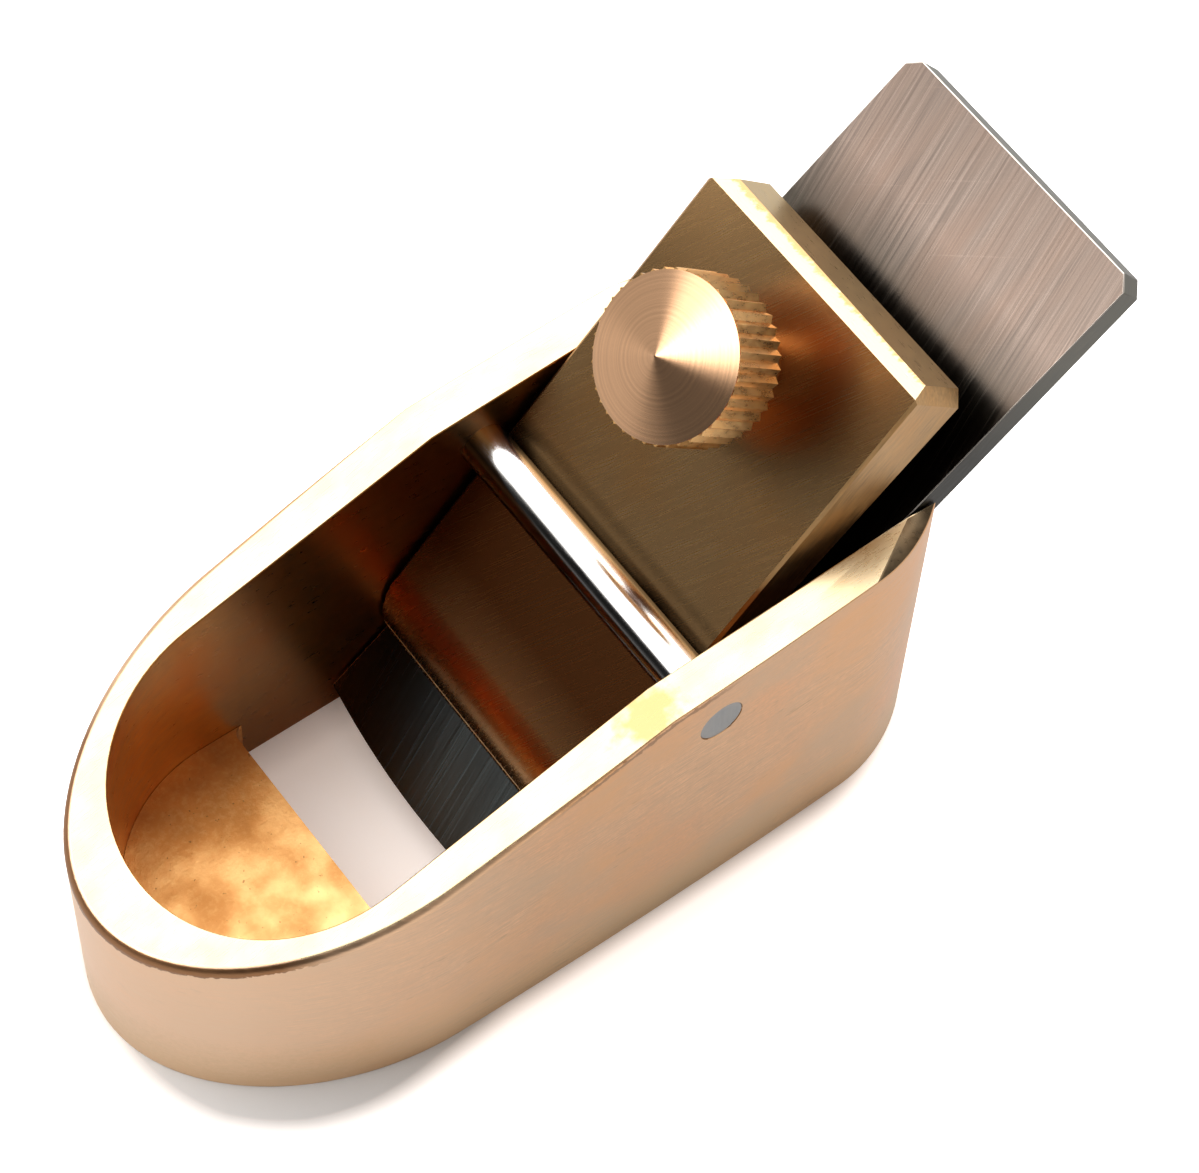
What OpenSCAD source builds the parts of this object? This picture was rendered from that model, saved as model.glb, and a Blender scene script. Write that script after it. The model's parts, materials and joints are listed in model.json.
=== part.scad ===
// Brass thumb plane with a rocking lever cap and a clamping thumbscrew.
// Millimetres. The origin is the centre of the flat sole. +X points to the toe, +Z up.
// The bed rises from the mouth towards the heel, at -X.

/* [Blade] */
// Width of the blade
blade_w = 20; // [18:0.1:24]
// Thickness of the blade
blade_t = 2.2; // [1.8:0.1:2.6]
// Length of the blade along its middle
blade_l = 54.2; // [50:0.1:60]
// Angle of the bed and the blade above the sole
bed_angle = 38.6; // [38:0.1:40]
// How far the cutting edge is drawn back up the bed from the sole
blade_back = 2.7; // [1:0.1:4]
// Radius of the curved cutting edge, seen from above the blade
camber_r = 56; // [40:1:90]
// Angle of the bevel ground under the edge
bevel_angle = 28; // [24:1:34]
// Size of the corners cut off the blade's top end
blade_corner = 0.8; // [0.4:0.1:1.5]

/* [Body] */
// Length of the body from heel to toe
body_l = 56.2; // [54:0.1:64]
// Thickness of the side walls at the widest place
wall_t = 2.65; // [2.3:0.05:3.5]
// Thickness of the wall at the tip of the toe
toe_wall_t = 3.3; // [2.6:0.1:4]
// Thickness of the solid heel behind the throat
heel_t = 5.4; // [4.8:0.1:6.5]
// Length of the rounded toe
toe_l = 16.7; // [15:0.1:20]
// Radius of the two heel corners
heel_r = 11; // [9:0.1:11.5]
// Radius of the slightly bulging sides
side_r = 500; // [350:10:900]
// Distance of the widest place from the toe's tip
widest_back = 31.8; // [28:0.1:36]
// Metal left between the cross pin and the rim
rim_cover = 2.2; // [1.6:0.1:4]
// Angle at which the rim rises to the heel
heel_rise = 3; // [1:0.1:5]
// Angle at which the rim falls to the toe
toe_fall = 16.3; // [12:0.1:18]
// Distance of the bend in the rim ahead of the cross pin
rim_bend = 3.6; // [2:0.1:5]

/* [Heel corners] */
// Distance of the worn corner bevels from the heel's end
corner_back = 6.1; // [5.6:0.1:7]
// Direction of the bevels, seen from above
corner_turn = 28.7; // [24:0.1:34]
// Slope of the bevels
corner_fall = 20; // [12:1:30]

/* [Toe plate] */
// Length of the toe plate from the inner face of the toe
plate_l = 12.7; // [10:0.1:14]
// Thickness of the toe plate
plate_t = 3.9; // [3:0.1:5]
// Distance from the toe plate to the line where the blade's face meets the sole
mouth_gap = 4.4; // [3.5:0.1:6]
// Radius of the solder left in the front corners of the mouth
solder_r = 0.7; // [0.3:0.1:1.2]

/* [Bed block] */
// Height of the upright land at the front of the bed
bed_land = 0.8; // [0.5:0.1:1.5]

/* [Cross pin] */
// Diameter of the cross pin
pin_d = 3; // [2.6:0.1:3.4]
// Distance of the cross pin's axis from the toe's tip
pin_back = 34.8; // [34:0.1:36]
// Height of the cross pin's axis above the sole
pin_h = 19.5; // [19.1:0.1:20]

/* [Lever cap] */
// Angle of the cap's top face above the sole
cap_angle = 46.8; // [46:0.1:48]
// How much narrower than the blade the cap is on each side
cap_inset = 0.4; // [0.2:0.05:1]
// Thickness of the cap under the cross pin
cap_t = 3.1; // [2.6:0.1:3.4]
// Angle between the cap's top face and its underside
cap_taper = 4.8; // [3:0.1:5]
// Length of the cap from the pin to its tail
cap_tail = 22; // [20:0.1:24]
// Length of the cap from the pin to its nose
cap_nose = 15.25; // [14.5:0.05:15.6]
// Length of the rolled top of the nose
nose_roll = 5.25; // [4:0.05:6]
// Width of the blunt strip at the end of the nose, along the cap
nose_flat = 0.3; // [0.2:0.05:0.5]
// Height of the blunt strip at the end of the nose
nose_edge = 0.35; // [0.25:0.05:0.5]
// Length of the thin part of the nose, hollowed underneath
nose_hollow = 3.8; // [3:0.1:4.5]
// Depth of the groove for the cross pin
groove_depth = 0.45; // [0.3:0.05:0.8]
// Length of the tail's chamfer along the cap
tail_chamfer_l = 0.6; // [0.4:0.05:1]
// Depth of the tail's chamfer
tail_chamfer_h = 1.15; // [0.6:0.05:1.6]
// Size of the chamfers along the cap's long edges
edge_chamfer = 0.2; // [0.1:0.05:0.4]

/* [Thumbscrew] */
// Distance of the screw's axis from the cross pin, along the cap
screw_reach = 15.4; // [13:0.1:16]
// Diameter of the screw's stem
stem_d = 4; // [3.5:0.1:4.5]
// Diameter of the knob
knob_d = 10; // [8:0.1:12]
// Height of the knob's back face above the cap
knob_lift = 4.5; // [3:0.1:6]
// Length of the knurled side of the knob
knurl_l = 4.1; // [3:0.1:5]
// Height of the knob's shallow cone
cone_h = 1.1; // [0.5:0.1:2]
// Number of teeth in the knurl
knurl_teeth = 40; // [30:1:48]
// Depth of the knurl
knurl_depth = 0.3; // [0.15:0.05:0.4]
// Depth of the stem's seat in the knob
stem_seat = 3; // [2:0.1:3.5]

/* [Clearances] */
// Gap between the blade and each side of the throat, when centred
throat_gap = 0.4; // [0.3:0.05:0.6]
// Least gap that the slightly turned blade and cap leave to the walls
side_gap = 0.05; // [0.02:0.01:0.1]
// Least gap between the lever cap and the walls
cap_side_gap = 0.2; // [0.1:0.05:0.3]
// Share of its side play that the cap has turned by, over its length
cap_turn = 0.65; // [0:0.05:1]
// Gap between the blade and what it lies on or what presses on it
rest_gap = 0.03; // [0.02:0.01:0.1]
// Radial gap between the cross pin and its groove in the cap
groove_gap = 0.05; // [0.03:0.01:0.1]
// Radial gap between the cross pin and its holes in the walls
pin_gap = 0.01; // [0.01:0.01:0.02]
// Radial gap around the screw's stem
stem_gap = 0.05; // [0.02:0.01:0.1]
// Solder film between the body and the plates fixed in it
solder_gap = 0.02; // [0.01:0.01:0.05]

/* [Hidden] */
$fn = 96;
over = 1;

// Plan of the body
toe_x = body_l / 2;
heel_x = -body_l / 2;
throat_half = blade_w / 2 + throat_gap;
body_half = throat_half + wall_t;
widest_x = toe_x - widest_back;
throat_toe_x = toe_x - toe_wall_t - throat_half;
throat_back_x = heel_x + heel_t;
outline_step = 3;

// Side view of the body
pin_x = toe_x - pin_back;
bend_x = pin_x + rim_bend;
pin_r = pin_d / 2;
rim_h = pin_h + pin_r + rim_cover;

// Bed and blade
plate_x = toe_x - toe_wall_t - plate_l;
face_x = plate_x - mouth_gap;
bed_drop = (blade_t + rest_gap) / cos(bed_angle);
bed_front_x = face_x - (bed_land + bed_drop) / tan(bed_angle);
blade_top_s = blade_back + blade_l;
bevel_r = camber_r / sin(bevel_angle);
feather_x = heel_corner_x() - sqrt(pow(heel_r, 2) - pow(throat_half - heel_corner_y(), 2));
throat_run = (face_x - feather_x) / cos(bed_angle);
blade_play = throat_gap - side_gap;
blade_skew = asin(2 * blade_play / throat_run);

// Lever cap, in its own frame: u runs up the cap from the pin, n out of its top face
cap_w = blade_w - 2 * cap_inset;
cap_drop = pin_r + groove_gap - groove_depth;
cap_lean = cap_angle - bed_angle;
pin_to_face = (pin_h - (face_x - pin_x) * tan(bed_angle)) * cos(bed_angle);
cap_play = throat_half - cap_w / 2 - cap_side_gap;
cap_skew = asin(cap_turn * cap_play / (cap_tail + cap_nose));
cap_y = -cap_play + cap_nose * sin(cap_skew);
nose_tip_n = face_n(-cap_nose) + rest_gap / cos(cap_lean);
roll_u = nose_roll - nose_flat;
roll_drop = -nose_tip_n - nose_edge;
roll_r = (pow(roll_u, 2) + pow(roll_drop, 2)) / (2 * roll_drop);

// Thumbscrew, in the cap's frame
stem_r = stem_d / 2;
ball_n = face_n(screw_reach) + (stem_r + rest_gap) / cos(cap_lean);
knob_r = knob_d / 2;

// Middle of a heel corner's radius
function heel_corner_x() = heel_x + heel_r;
function heel_corner_y() = side_y(heel_corner_x()) - heel_r;

// Half width of the bulging body at a place along it
function side_y(x) = body_half - (side_r - sqrt(pow(side_r, 2) - pow(x - widest_x, 2)));

// Height of the rim at a place along the body
function rim_z(x) =
    x < bend_x
        ? rim_h + (pin_x - x) * tan(heel_rise)
        : rim_h - rim_bend * tan(heel_rise) - (x - bend_x) * tan(toe_fall);

// Height of the blade's face in the cap's frame
function face_n(u) = cap_drop - pin_to_face / cos(cap_lean) - u * tan(cap_lean);

// Height of the cap's underside in its own frame
function under_n(u) = -cap_t - u * tan(cap_taper);

// Half of the body's outline, from the middle of the toe to the middle of the heel
function half_outline() = concat(
    [for (a = [0 : outline_step : 90])
        let (x = toe_x - toe_l + toe_l * cos(a)) [x, side_y(x) * sin(a)]],
    [for (x = [toe_x - toe_l - 2 : -2 : heel_corner_x() + 0.5]) [x, side_y(x)]],
    [for (a = [90 : outline_step : 180])
        [heel_corner_x() + heel_r * cos(a), heel_corner_y() + heel_r * sin(a)]]
);

module body_plan() {
    half = half_outline();
    polygon(concat(half, [for (i = [len(half) - 1 : -1 : 1]) [half[i][0], -half[i][1]]]));
}

// Plan of the throat, made smaller all round by a gap
module throat_plan(gap) {
    r = throat_half - gap;
    translate([throat_back_x + gap, -r]) square([throat_toe_x - throat_back_x - gap, 2 * r]);
    translate([throat_toe_x, 0]) circle(r = r);
}

module side_view(points, width) {
    translate([0, width / 2, 0]) rotate([90, 0, 0]) linear_extrude(width) polygon(points);
}

module rim_profile() {
    x0 = heel_x - over;
    x1 = toe_x + over;
    rim_line = [[x1, rim_z(x1)], [bend_x, rim_z(bend_x)], [x0, rim_z(x0)]];
    side_view(concat([[x0, 0], [x1, 0]], rim_line), 2 * body_half + over);
}

function bed_z(x) = (face_x - x) * tan(bed_angle) - bed_drop;

// Everything above the bed's plane, as wide as the throat
module blade_channel() {
    x0 = heel_x - over;
    x1 = throat_back_x + over;
    top = rim_z(x0) + over;
    side_view([[x0, bed_z(x0)], [x1, bed_z(x1)], [x1, top], [x0, top]], 2 * throat_half);
}

module corner_bevel() {
    x = heel_x + corner_back;
    translate([x, throat_half, rim_z(x)])
        rotate([0, heel_rise, 0])
            rotate([0, 0, corner_turn])
                rotate([-corner_fall, 0, 0])
                    translate([-heel_r, 0, 0])
                        cube([2 * heel_r, heel_r, heel_r]);
}

module body() {
    color([0.80, 0.65, 0.45])
        difference() {
            intersection() {
                linear_extrude(rim_z(heel_x - over)) body_plan();
                rim_profile();
            }
            translate([0, 0, -over]) linear_extrude(rim_z(heel_x) + 3 * over) throat_plan(0);
            blade_channel();
            corner_bevel();
            mirror([0, 1, 0]) corner_bevel();
            translate([pin_x, body_half + over, pin_h])
                rotate([90, 0, 0])
                    cylinder(r = pin_r + pin_gap, h = 2 * (body_half + over));
        }
}

module toe_plate() {
    r = throat_half - solder_gap;
    color([0.86, 0.62, 0.30])
        linear_extrude(plate_t) {
            intersection() {
                throat_plan(solder_gap);
                translate([plate_x, -throat_half]) square(2 * throat_half);
            }
            for (side = [0, 1])
                mirror([0, side])
                    translate([plate_x - solder_r, r - solder_r])
                        difference() {
                            square(solder_r);
                            circle(r = solder_r);
                        }
        }
}

module bed_block() {
    x0 = throat_back_x + solder_gap;
    color([0.78, 0.62, 0.40])
        side_view([[x0, 0], [bed_front_x, 0], [bed_front_x, bed_land], [x0, bed_z(x0)]],
            2 * (throat_half - solder_gap));
}

// The pin's ends are dressed flush with the bulging walls
module cross_pin() {
    color([0.72, 0.72, 0.74])
        intersection() {
            translate([pin_x, body_half, pin_h]) rotate([90, 0, 0]) cylinder(r = pin_r, h = 2 * body_half);
            linear_extrude(rim_h) body_plan();
        }
}

// Puts a piece drawn in the blade's frame on the bed: s runs up the bed, m out of the face
module on_bed() {
    translate([face_x, 0, 0])
        rotate([0, bed_angle, 0])
            rotate([0, 0, 180])
                translate([0, blade_play, 0])
                    rotate([0, 0, -blade_skew])
                        children();
}

module blade() {
    half = blade_w / 2;
    edge_s = blade_back;
    color([0.62, 0.60, 0.60])
        on_bed()
            intersection() {
                translate([0, 0, -blade_t])
                    linear_extrude(blade_t)
                        polygon([[edge_s - over, -half], [blade_top_s - blade_corner, -half],
                            [blade_top_s, -half + blade_corner], [blade_top_s, half - blade_corner],
                            [blade_top_s - blade_corner, half], [edge_s - over, half]]);
                translate([edge_s + bevel_r * sin(bevel_angle), 0, bevel_r * cos(bevel_angle)])
                    rotate([0, 90 + bevel_angle, 0])
                        cylinder(r = bevel_r, h = 4 * blade_l, center = true, $fn = 720);
            }
}

// Puts a piece drawn in the cap's frame over the blade
module on_cap() {
    translate([pin_x, 0, pin_h])
        rotate([0, cap_angle, 0])
            rotate([0, 0, 180])
                translate([0, 0, -cap_drop])
                    children();
}

// The cap has turned a little in the throat
module turned_with_cap() {
    translate([0, -cap_y, 0]) rotate([0, 0, -cap_skew]) children();
}

module cap_profile() {
    hollow_u = -cap_nose + nose_hollow;
    lip_u = -cap_nose + 2 * nose_flat;
    difference() {
        polygon([[cap_tail - tail_chamfer_l, 0], [cap_tail, -tail_chamfer_h], [cap_tail, under_n(cap_tail)],
            [hollow_u, under_n(hollow_u)], [lip_u, nose_tip_n + nose_edge / 2], [-cap_nose, nose_tip_n],
            [-cap_nose + nose_flat, nose_tip_n + nose_edge], [-cap_nose + nose_flat, 0]]);
        difference() {
            translate([-cap_nose - over, -roll_drop]) square([nose_roll + over, roll_r]);
            translate([-cap_nose + nose_roll, -roll_r]) circle(r = roll_r, $fn = 180);
        }
    }
}

module long_edge_chamfer() {
    translate([-cap_nose - over, cap_w / 2, 0])
        rotate([45, 0, 0])
            translate([0, -edge_chamfer / sqrt(2), -edge_chamfer / sqrt(2)])
                cube([cap_nose + cap_tail + 2 * over, edge_chamfer * sqrt(2), edge_chamfer * sqrt(2)]);
}

module lever_cap() {
    color([0.72, 0.56, 0.30])
        on_cap()
            difference() {
                turned_with_cap()
                    difference() {
                        translate([0, cap_w / 2, 0]) rotate([90, 0, 0]) linear_extrude(cap_w) cap_profile();
                        long_edge_chamfer();
                        mirror([0, 1, 0]) long_edge_chamfer();
                        translate([screw_reach, 0, -cap_tail])
                            cylinder(r = stem_r + stem_gap, h = cap_tail + over);
                    }
                translate([0, -blade_w, cap_drop])
                    rotate([-90, 0, 0])
                        cylinder(r = pin_r + groove_gap, h = 2 * blade_w);
            }
}

module screw_stem() {
    color([0.75, 0.60, 0.38])
        on_cap()
            turned_with_cap()
                translate([screw_reach, 0, 0]) {
                    translate([0, 0, ball_n]) sphere(r = stem_r);
                    translate([0, 0, ball_n]) cylinder(r = stem_r, h = knob_lift + stem_seat - ball_n);
                }
}

// Star outline of the knurl: a crest and a valley for each tooth
module knurl_outline() {
    half_tooth = 180 / knurl_teeth;
    polygon([for (i = [0 : 2 * knurl_teeth - 1])
        let (r = knob_r - (i % 2) * knurl_depth) [r * cos(i * half_tooth), r * sin(i * half_tooth)]]);
}

module screw_knob() {
    tall = knurl_l + cone_h;
    seat = stem_seat + stem_gap;
    color([0.82, 0.62, 0.42])
        on_cap()
            turned_with_cap()
                translate([screw_reach, 0, knob_lift])
                    difference() {
                        intersection() {
                            linear_extrude(tall) knurl_outline();
                            union() {
                                cylinder(r = knob_r + over, h = knurl_l);
                                translate([0, 0, knurl_l]) cylinder(r1 = knob_r, r2 = 0, h = cone_h);
                            }
                        }
                        translate([0, 0, -over]) cylinder(r = stem_r + stem_gap, h = seat + over);
                    }
}

body();
toe_plate();
bed_block();
cross_pin();
blade();
lever_cap();
screw_stem();
screw_knob();
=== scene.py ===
"""Thumb plane: the looks of each piece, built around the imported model's frame."""

import json
import math

import bmesh
import bpy
from mathutils import Matrix, Vector


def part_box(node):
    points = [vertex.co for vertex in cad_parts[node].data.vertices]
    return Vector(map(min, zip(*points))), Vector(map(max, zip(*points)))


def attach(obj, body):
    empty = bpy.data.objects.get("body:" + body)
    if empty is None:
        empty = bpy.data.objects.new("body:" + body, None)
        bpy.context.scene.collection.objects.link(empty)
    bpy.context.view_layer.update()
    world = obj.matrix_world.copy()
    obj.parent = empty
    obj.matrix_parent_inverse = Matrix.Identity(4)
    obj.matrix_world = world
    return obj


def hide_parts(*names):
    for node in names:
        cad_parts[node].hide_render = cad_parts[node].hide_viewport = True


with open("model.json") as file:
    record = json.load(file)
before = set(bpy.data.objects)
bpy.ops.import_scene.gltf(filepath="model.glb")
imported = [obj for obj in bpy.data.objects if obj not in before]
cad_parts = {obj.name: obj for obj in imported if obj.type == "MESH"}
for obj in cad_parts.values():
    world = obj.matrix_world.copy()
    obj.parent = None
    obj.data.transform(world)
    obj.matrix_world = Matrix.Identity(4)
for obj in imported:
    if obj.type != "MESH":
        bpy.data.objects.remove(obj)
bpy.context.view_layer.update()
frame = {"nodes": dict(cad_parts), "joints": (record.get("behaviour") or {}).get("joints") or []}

bl_info = {
    "name": "Thumb plane",
    "version": (1, 0, 0),
    "blender": (4, 5, 0),
    "location": "3D View > Sidebar > Thumb plane",
    "description": "Builds the pieces, finishes, light and camera of a small brass thumb plane",
    "category": "Object",
}

MM = 0.001

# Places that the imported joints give: the cross pin, the blade's way up the bed, and the screw's axis
JOINTS = {joint["name"]: joint for joint in frame["joints"]}
PIN_AXIS = Vector(JOINTS["cap_rock"]["pos_m"])
BED_WAY = Vector(JOINTS["blade_slide"]["axis"]).normalized()
SCREW_WAY = Vector(JOINTS["screw_turn"]["axis"]).normalized()
SCREW_POINT = Vector(JOINTS["screw_turn"]["pos_m"])
# How far the cap's top face lies under the pin's axis
CAP_DROP = 1.1 * MM


def frame_of(origin, along, out):
    """Matrix of a piece's own frame: x along it, z out of its face."""
    x = along.normalized()
    z = (out - out.dot(x) * x).normalized()
    y = z.cross(x)
    turn = Matrix((x, y, z)).transposed().to_4x4()
    return Matrix.Translation(origin) @ turn


def cap_frame():
    """The cap's and the screw's frame: x up the cap, z out along the screw, from the cap's top face."""
    up_cap = Vector((-SCREW_WAY.z, 0, SCREW_WAY.x))
    out = SCREW_WAY
    on_axis = SCREW_POINT - out * (SCREW_POINT - PIN_AXIS).dot(out)
    return frame_of(on_axis - out * CAP_DROP, up_cap, out)


def blade_frame():
    """The blade's frame: x up the bed, z out of its face, from the middle of the blade's box."""
    low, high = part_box("blade")
    out = Vector((BED_WAY.z, 0, -BED_WAY.x))
    return frame_of((low + high) / 2, BED_WAY, out)


def pin_frame():
    """The cross pin's frame, with z along it."""
    return frame_of(Vector((PIN_AXIS.x, 0, PIN_AXIS.z)), Vector((0, 0, 1)), Vector((0, 1, 0)))


class PlaneSizes(bpy.types.PropertyGroup):
    """Sizes that the looks add to the frame's pieces."""

    rim_round: bpy.props.FloatProperty(
        name="Rim rounding", description="Rounding of the rim's outer edge",
        default=0.5 * MM, unit="LENGTH")
    edge_break: bpy.props.FloatProperty(
        name="Edge break", description="Rounding of the other filed edges",
        default=0.1 * MM, unit="LENGTH")
    blade_break: bpy.props.FloatProperty(
        name="Blade edge break", description="Rounding of the blade's edges",
        default=0.07 * MM, unit="LENGTH")
    corner_cut: bpy.props.FloatProperty(
        name="Cap corner cut", description="How far the cap's corners are filed off at its tail",
        default=1.25 * MM, unit="LENGTH")
    tail_file: bpy.props.FloatProperty(
        name="Cap tail filing", description="Extra depth of the filed slope at the cap's tail",
        default=0.5 * MM, unit="LENGTH")
    knurl_teeth: bpy.props.IntProperty(
        name="Knurl teeth", description="Number of ridges round the knob", default=40)
    knurl_depth: bpy.props.FloatProperty(
        name="Knurl depth", description="Height of the ridges", default=0.3 * MM, unit="LENGTH")
    thread_pitch: bpy.props.FloatProperty(
        name="Thread pitch", description="Pitch of the screw's thread",
        default=0.7 * MM, unit="LENGTH")
    thread_depth: bpy.props.FloatProperty(
        name="Thread depth", description="Depth of the screw's thread",
        default=0.38 * MM, unit="LENGTH")


class PlaneColours(bpy.types.PropertyGroup):
    """Colours of the finishes."""

    side: bpy.props.FloatVectorProperty(
        name="Side brass", description="Brushed outer walls", subtype="COLOR", size=3,
        default=(0.80, 0.485, 0.275))
    toe_side: bpy.props.FloatVectorProperty(
        name="Toe side brass", description="Pinker brushed wall round the toe", subtype="COLOR",
        size=3, default=(0.94, 0.65, 0.44))
    # Painted dark reflection on the rim's rounded edge round the toe, also used for a thin dark line by the
    # bend
    rim_edge_dark: bpy.props.FloatVectorProperty(
        name="Dark rim edge", description="Brown painted on the rim's rounded edge at the toe, for its dark reflection", subtype="COLOR",
        size=3, default=(0.34, 0.17, 0.08))
    rim: bpy.props.FloatVectorProperty(
        name="Rim brass", description="Filed bright rim", subtype="COLOR", size=3,
        default=(0.72, 0.57, 0.36))
    heel: bpy.props.FloatVectorProperty(
        name="Heel brass", description="Dark filed corners of the heel", subtype="COLOR", size=3,
        default=(0.17, 0.12, 0.07))
    inside: bpy.props.FloatVectorProperty(
        name="Inside brass", description="Inner faces of the throat", subtype="COLOR", size=3,
        default=(0.80, 0.38, 0.10))
    # The toe plate's far and near colours: the change between them is painted light and shade
    toe: bpy.props.FloatVectorProperty(
        name="Toe plate brass", description="Mottled toe plate, on its far side", subtype="COLOR",
        size=3, default=(0.74, 0.33, 0.096))
    toe_near: bpy.props.FloatVectorProperty(
        name="Near toe plate", description="Paler near side of the toe plate", subtype="COLOR",
        size=3, default=(0.93, 0.64, 0.295))
    cap: bpy.props.FloatVectorProperty(
        name="Cap brass", description="Lever cap", subtype="COLOR", size=3,
        default=(0.42, 0.25, 0.11))
    # Painted dark reflection on the cap below the pin
    nose: bpy.props.FloatVectorProperty(
        name="Cap nose", description="Cap below the pin, painted darker as its dark reflection", subtype="COLOR",
        size=3, default=(0.19, 0.07, 0.022))
    knob: bpy.props.FloatVectorProperty(
        name="Knob bronze", description="Turned face of the knob", subtype="COLOR", size=3,
        default=(0.63, 0.37, 0.21))
    knurl: bpy.props.FloatVectorProperty(
        name="Knurl brass", description="Ridges round the knob", subtype="COLOR", size=3,
        default=(0.98, 0.58, 0.24))
    steel: bpy.props.FloatVectorProperty(
        name="Blade steel", description="Ground blade", subtype="COLOR", size=3,
        default=(0.152, 0.118, 0.099))
    pin: bpy.props.FloatVectorProperty(
        name="Pin steel", description="Bright drawn pin", subtype="COLOR", size=3,
        default=(0.62, 0.61, 0.60))


# Mesh helpers

def link(name, mesh):
    """A new object with the mesh, at the origin."""
    obj = bpy.data.objects.new(name, mesh)
    bpy.context.scene.collection.objects.link(obj)
    return obj


def solid_copy(node, name):
    """A merged copy of a CAD node's mesh, with its flat faces made whole."""
    form = bmesh.new()
    form.from_mesh(frame["nodes"][node].data)
    bmesh.ops.remove_doubles(form, verts=form.verts, dist=0.002 * MM)
    bmesh.ops.dissolve_limit(
        form, angle_limit=math.radians(0.3), verts=form.verts, edges=form.edges,
        use_dissolve_boundaries=False)
    mesh = bpy.data.meshes.new(name)
    form.to_mesh(mesh)
    form.free()
    mesh.materials.clear()
    return link(name, mesh)


def plain_mesh(obj):
    """Applies the object's modifiers, so that it has a plain mesh."""
    graph = bpy.context.evaluated_depsgraph_get()
    graph.update()
    made = bpy.data.meshes.new_from_object(obj.evaluated_get(graph))
    made.name = obj.name
    obj.modifiers.clear()
    obj.data = made


def cut_corner(obj, point, normal):
    """Cuts off what lies past a plane and closes the cut."""
    form = bmesh.new()
    form.from_mesh(obj.data)
    made = bmesh.ops.bisect_plane(
        form, geom=form.verts[:] + form.edges[:] + form.faces[:], dist=1e-7,
        plane_co=point, plane_no=normal, clear_outer=True)
    rim = [item for item in made["geom_cut"] if isinstance(item, bmesh.types.BMEdge)]
    bmesh.ops.contextual_create(form, geom=rim)
    if any(len(edge.link_faces) != 2 for edge in form.edges):
        raise RuntimeError("the cut corner is not closed")
    bmesh.ops.recalc_face_normals(form, faces=form.faces)
    form.to_mesh(obj.data)
    form.free()


def round_edges(obj, width, weight_of=None, sharp=25.0, segments=3, clamp=True, miter="MITER_ARC"):
    """Rounds the sharp edges; weight_of gives an edge its share of the width."""
    if weight_of:
        form = bmesh.new()
        form.from_mesh(obj.data)
        layer = form.edges.layers.float.new("bevel_weight_edge")
        for edge in form.edges:
            if len(edge.link_faces) == 2 and edge.calc_face_angle(0.0) > math.radians(sharp):
                edge[layer] = weight_of(edge)
        form.to_mesh(obj.data)
        form.free()
    bevel = obj.modifiers.new("Round", "BEVEL")
    bevel.width = width
    bevel.segments = segments
    bevel.limit_method = "WEIGHT" if weight_of else "ANGLE"
    bevel.angle_limit = math.radians(sharp)
    bevel.use_clamp_overlap = clamp
    bevel.miter_outer = miter
    obj.data.shade_smooth()
    flatten = obj.modifiers.new("Flatten", "WEIGHTED_NORMAL")
    flatten.weight = 80
    flatten.mode = "FACE_AREA"
    plain_mesh(obj)


def close_slivers(obj, length):
    """Merges points closer than the length, so that no sliver of a face upsets the rounding."""
    form = bmesh.new()
    form.from_mesh(obj.data)
    bmesh.ops.remove_doubles(form, verts=form.verts, dist=length)
    form.to_mesh(obj.data)
    form.free()


def split_edges(obj, chosen, length):
    """Adds points along the chosen edges, no further apart than the length, and changes nothing else."""
    form = bmesh.new()
    form.from_mesh(obj.data)
    form.normal_update()
    for edge in [e for e in form.edges if chosen(e)]:
        start, end = edge.verts
        for left in range(math.ceil(edge.calc_length() / length), 1, -1):
            edge, start = bmesh.utils.edge_split(edge, start, 1 / left)
            edge = next(e for e in start.link_edges if end in e.verts)
    form.to_mesh(obj.data)
    form.free()


def smooth(obj, angle):
    """Smooth shading, with edges over the angle in degrees kept sharp."""
    obj.data.shade_smooth()
    obj.data.set_sharp_from_angle(angle=math.radians(angle))


def set_grain(obj, matrix):
    """Stores each point's place in the piece's own frame, in millimetres, for the finishes to follow."""
    inverse = matrix.inverted()
    layer = obj.data.attributes.new("grain", "FLOAT_VECTOR", "POINT")
    values = []
    for vertex in obj.data.vertices:
        values.extend(inverse @ vertex.co / MM)
    layer.data.foreach_set("vector", values)


def paint(obj, *materials, pick=None):
    """Gives a piece its materials; pick says which of them a face takes, counted from 0."""
    for material in materials:
        obj.data.materials.append(material)
    if pick:
        for face in obj.data.polygons:
            face.material_index = pick(face)


def finish_piece(obj, node, body):
    """Says which body the piece rides on, and hides the CAD node it stands for."""
    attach(obj, body)
    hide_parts(node)


# Material helpers

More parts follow.
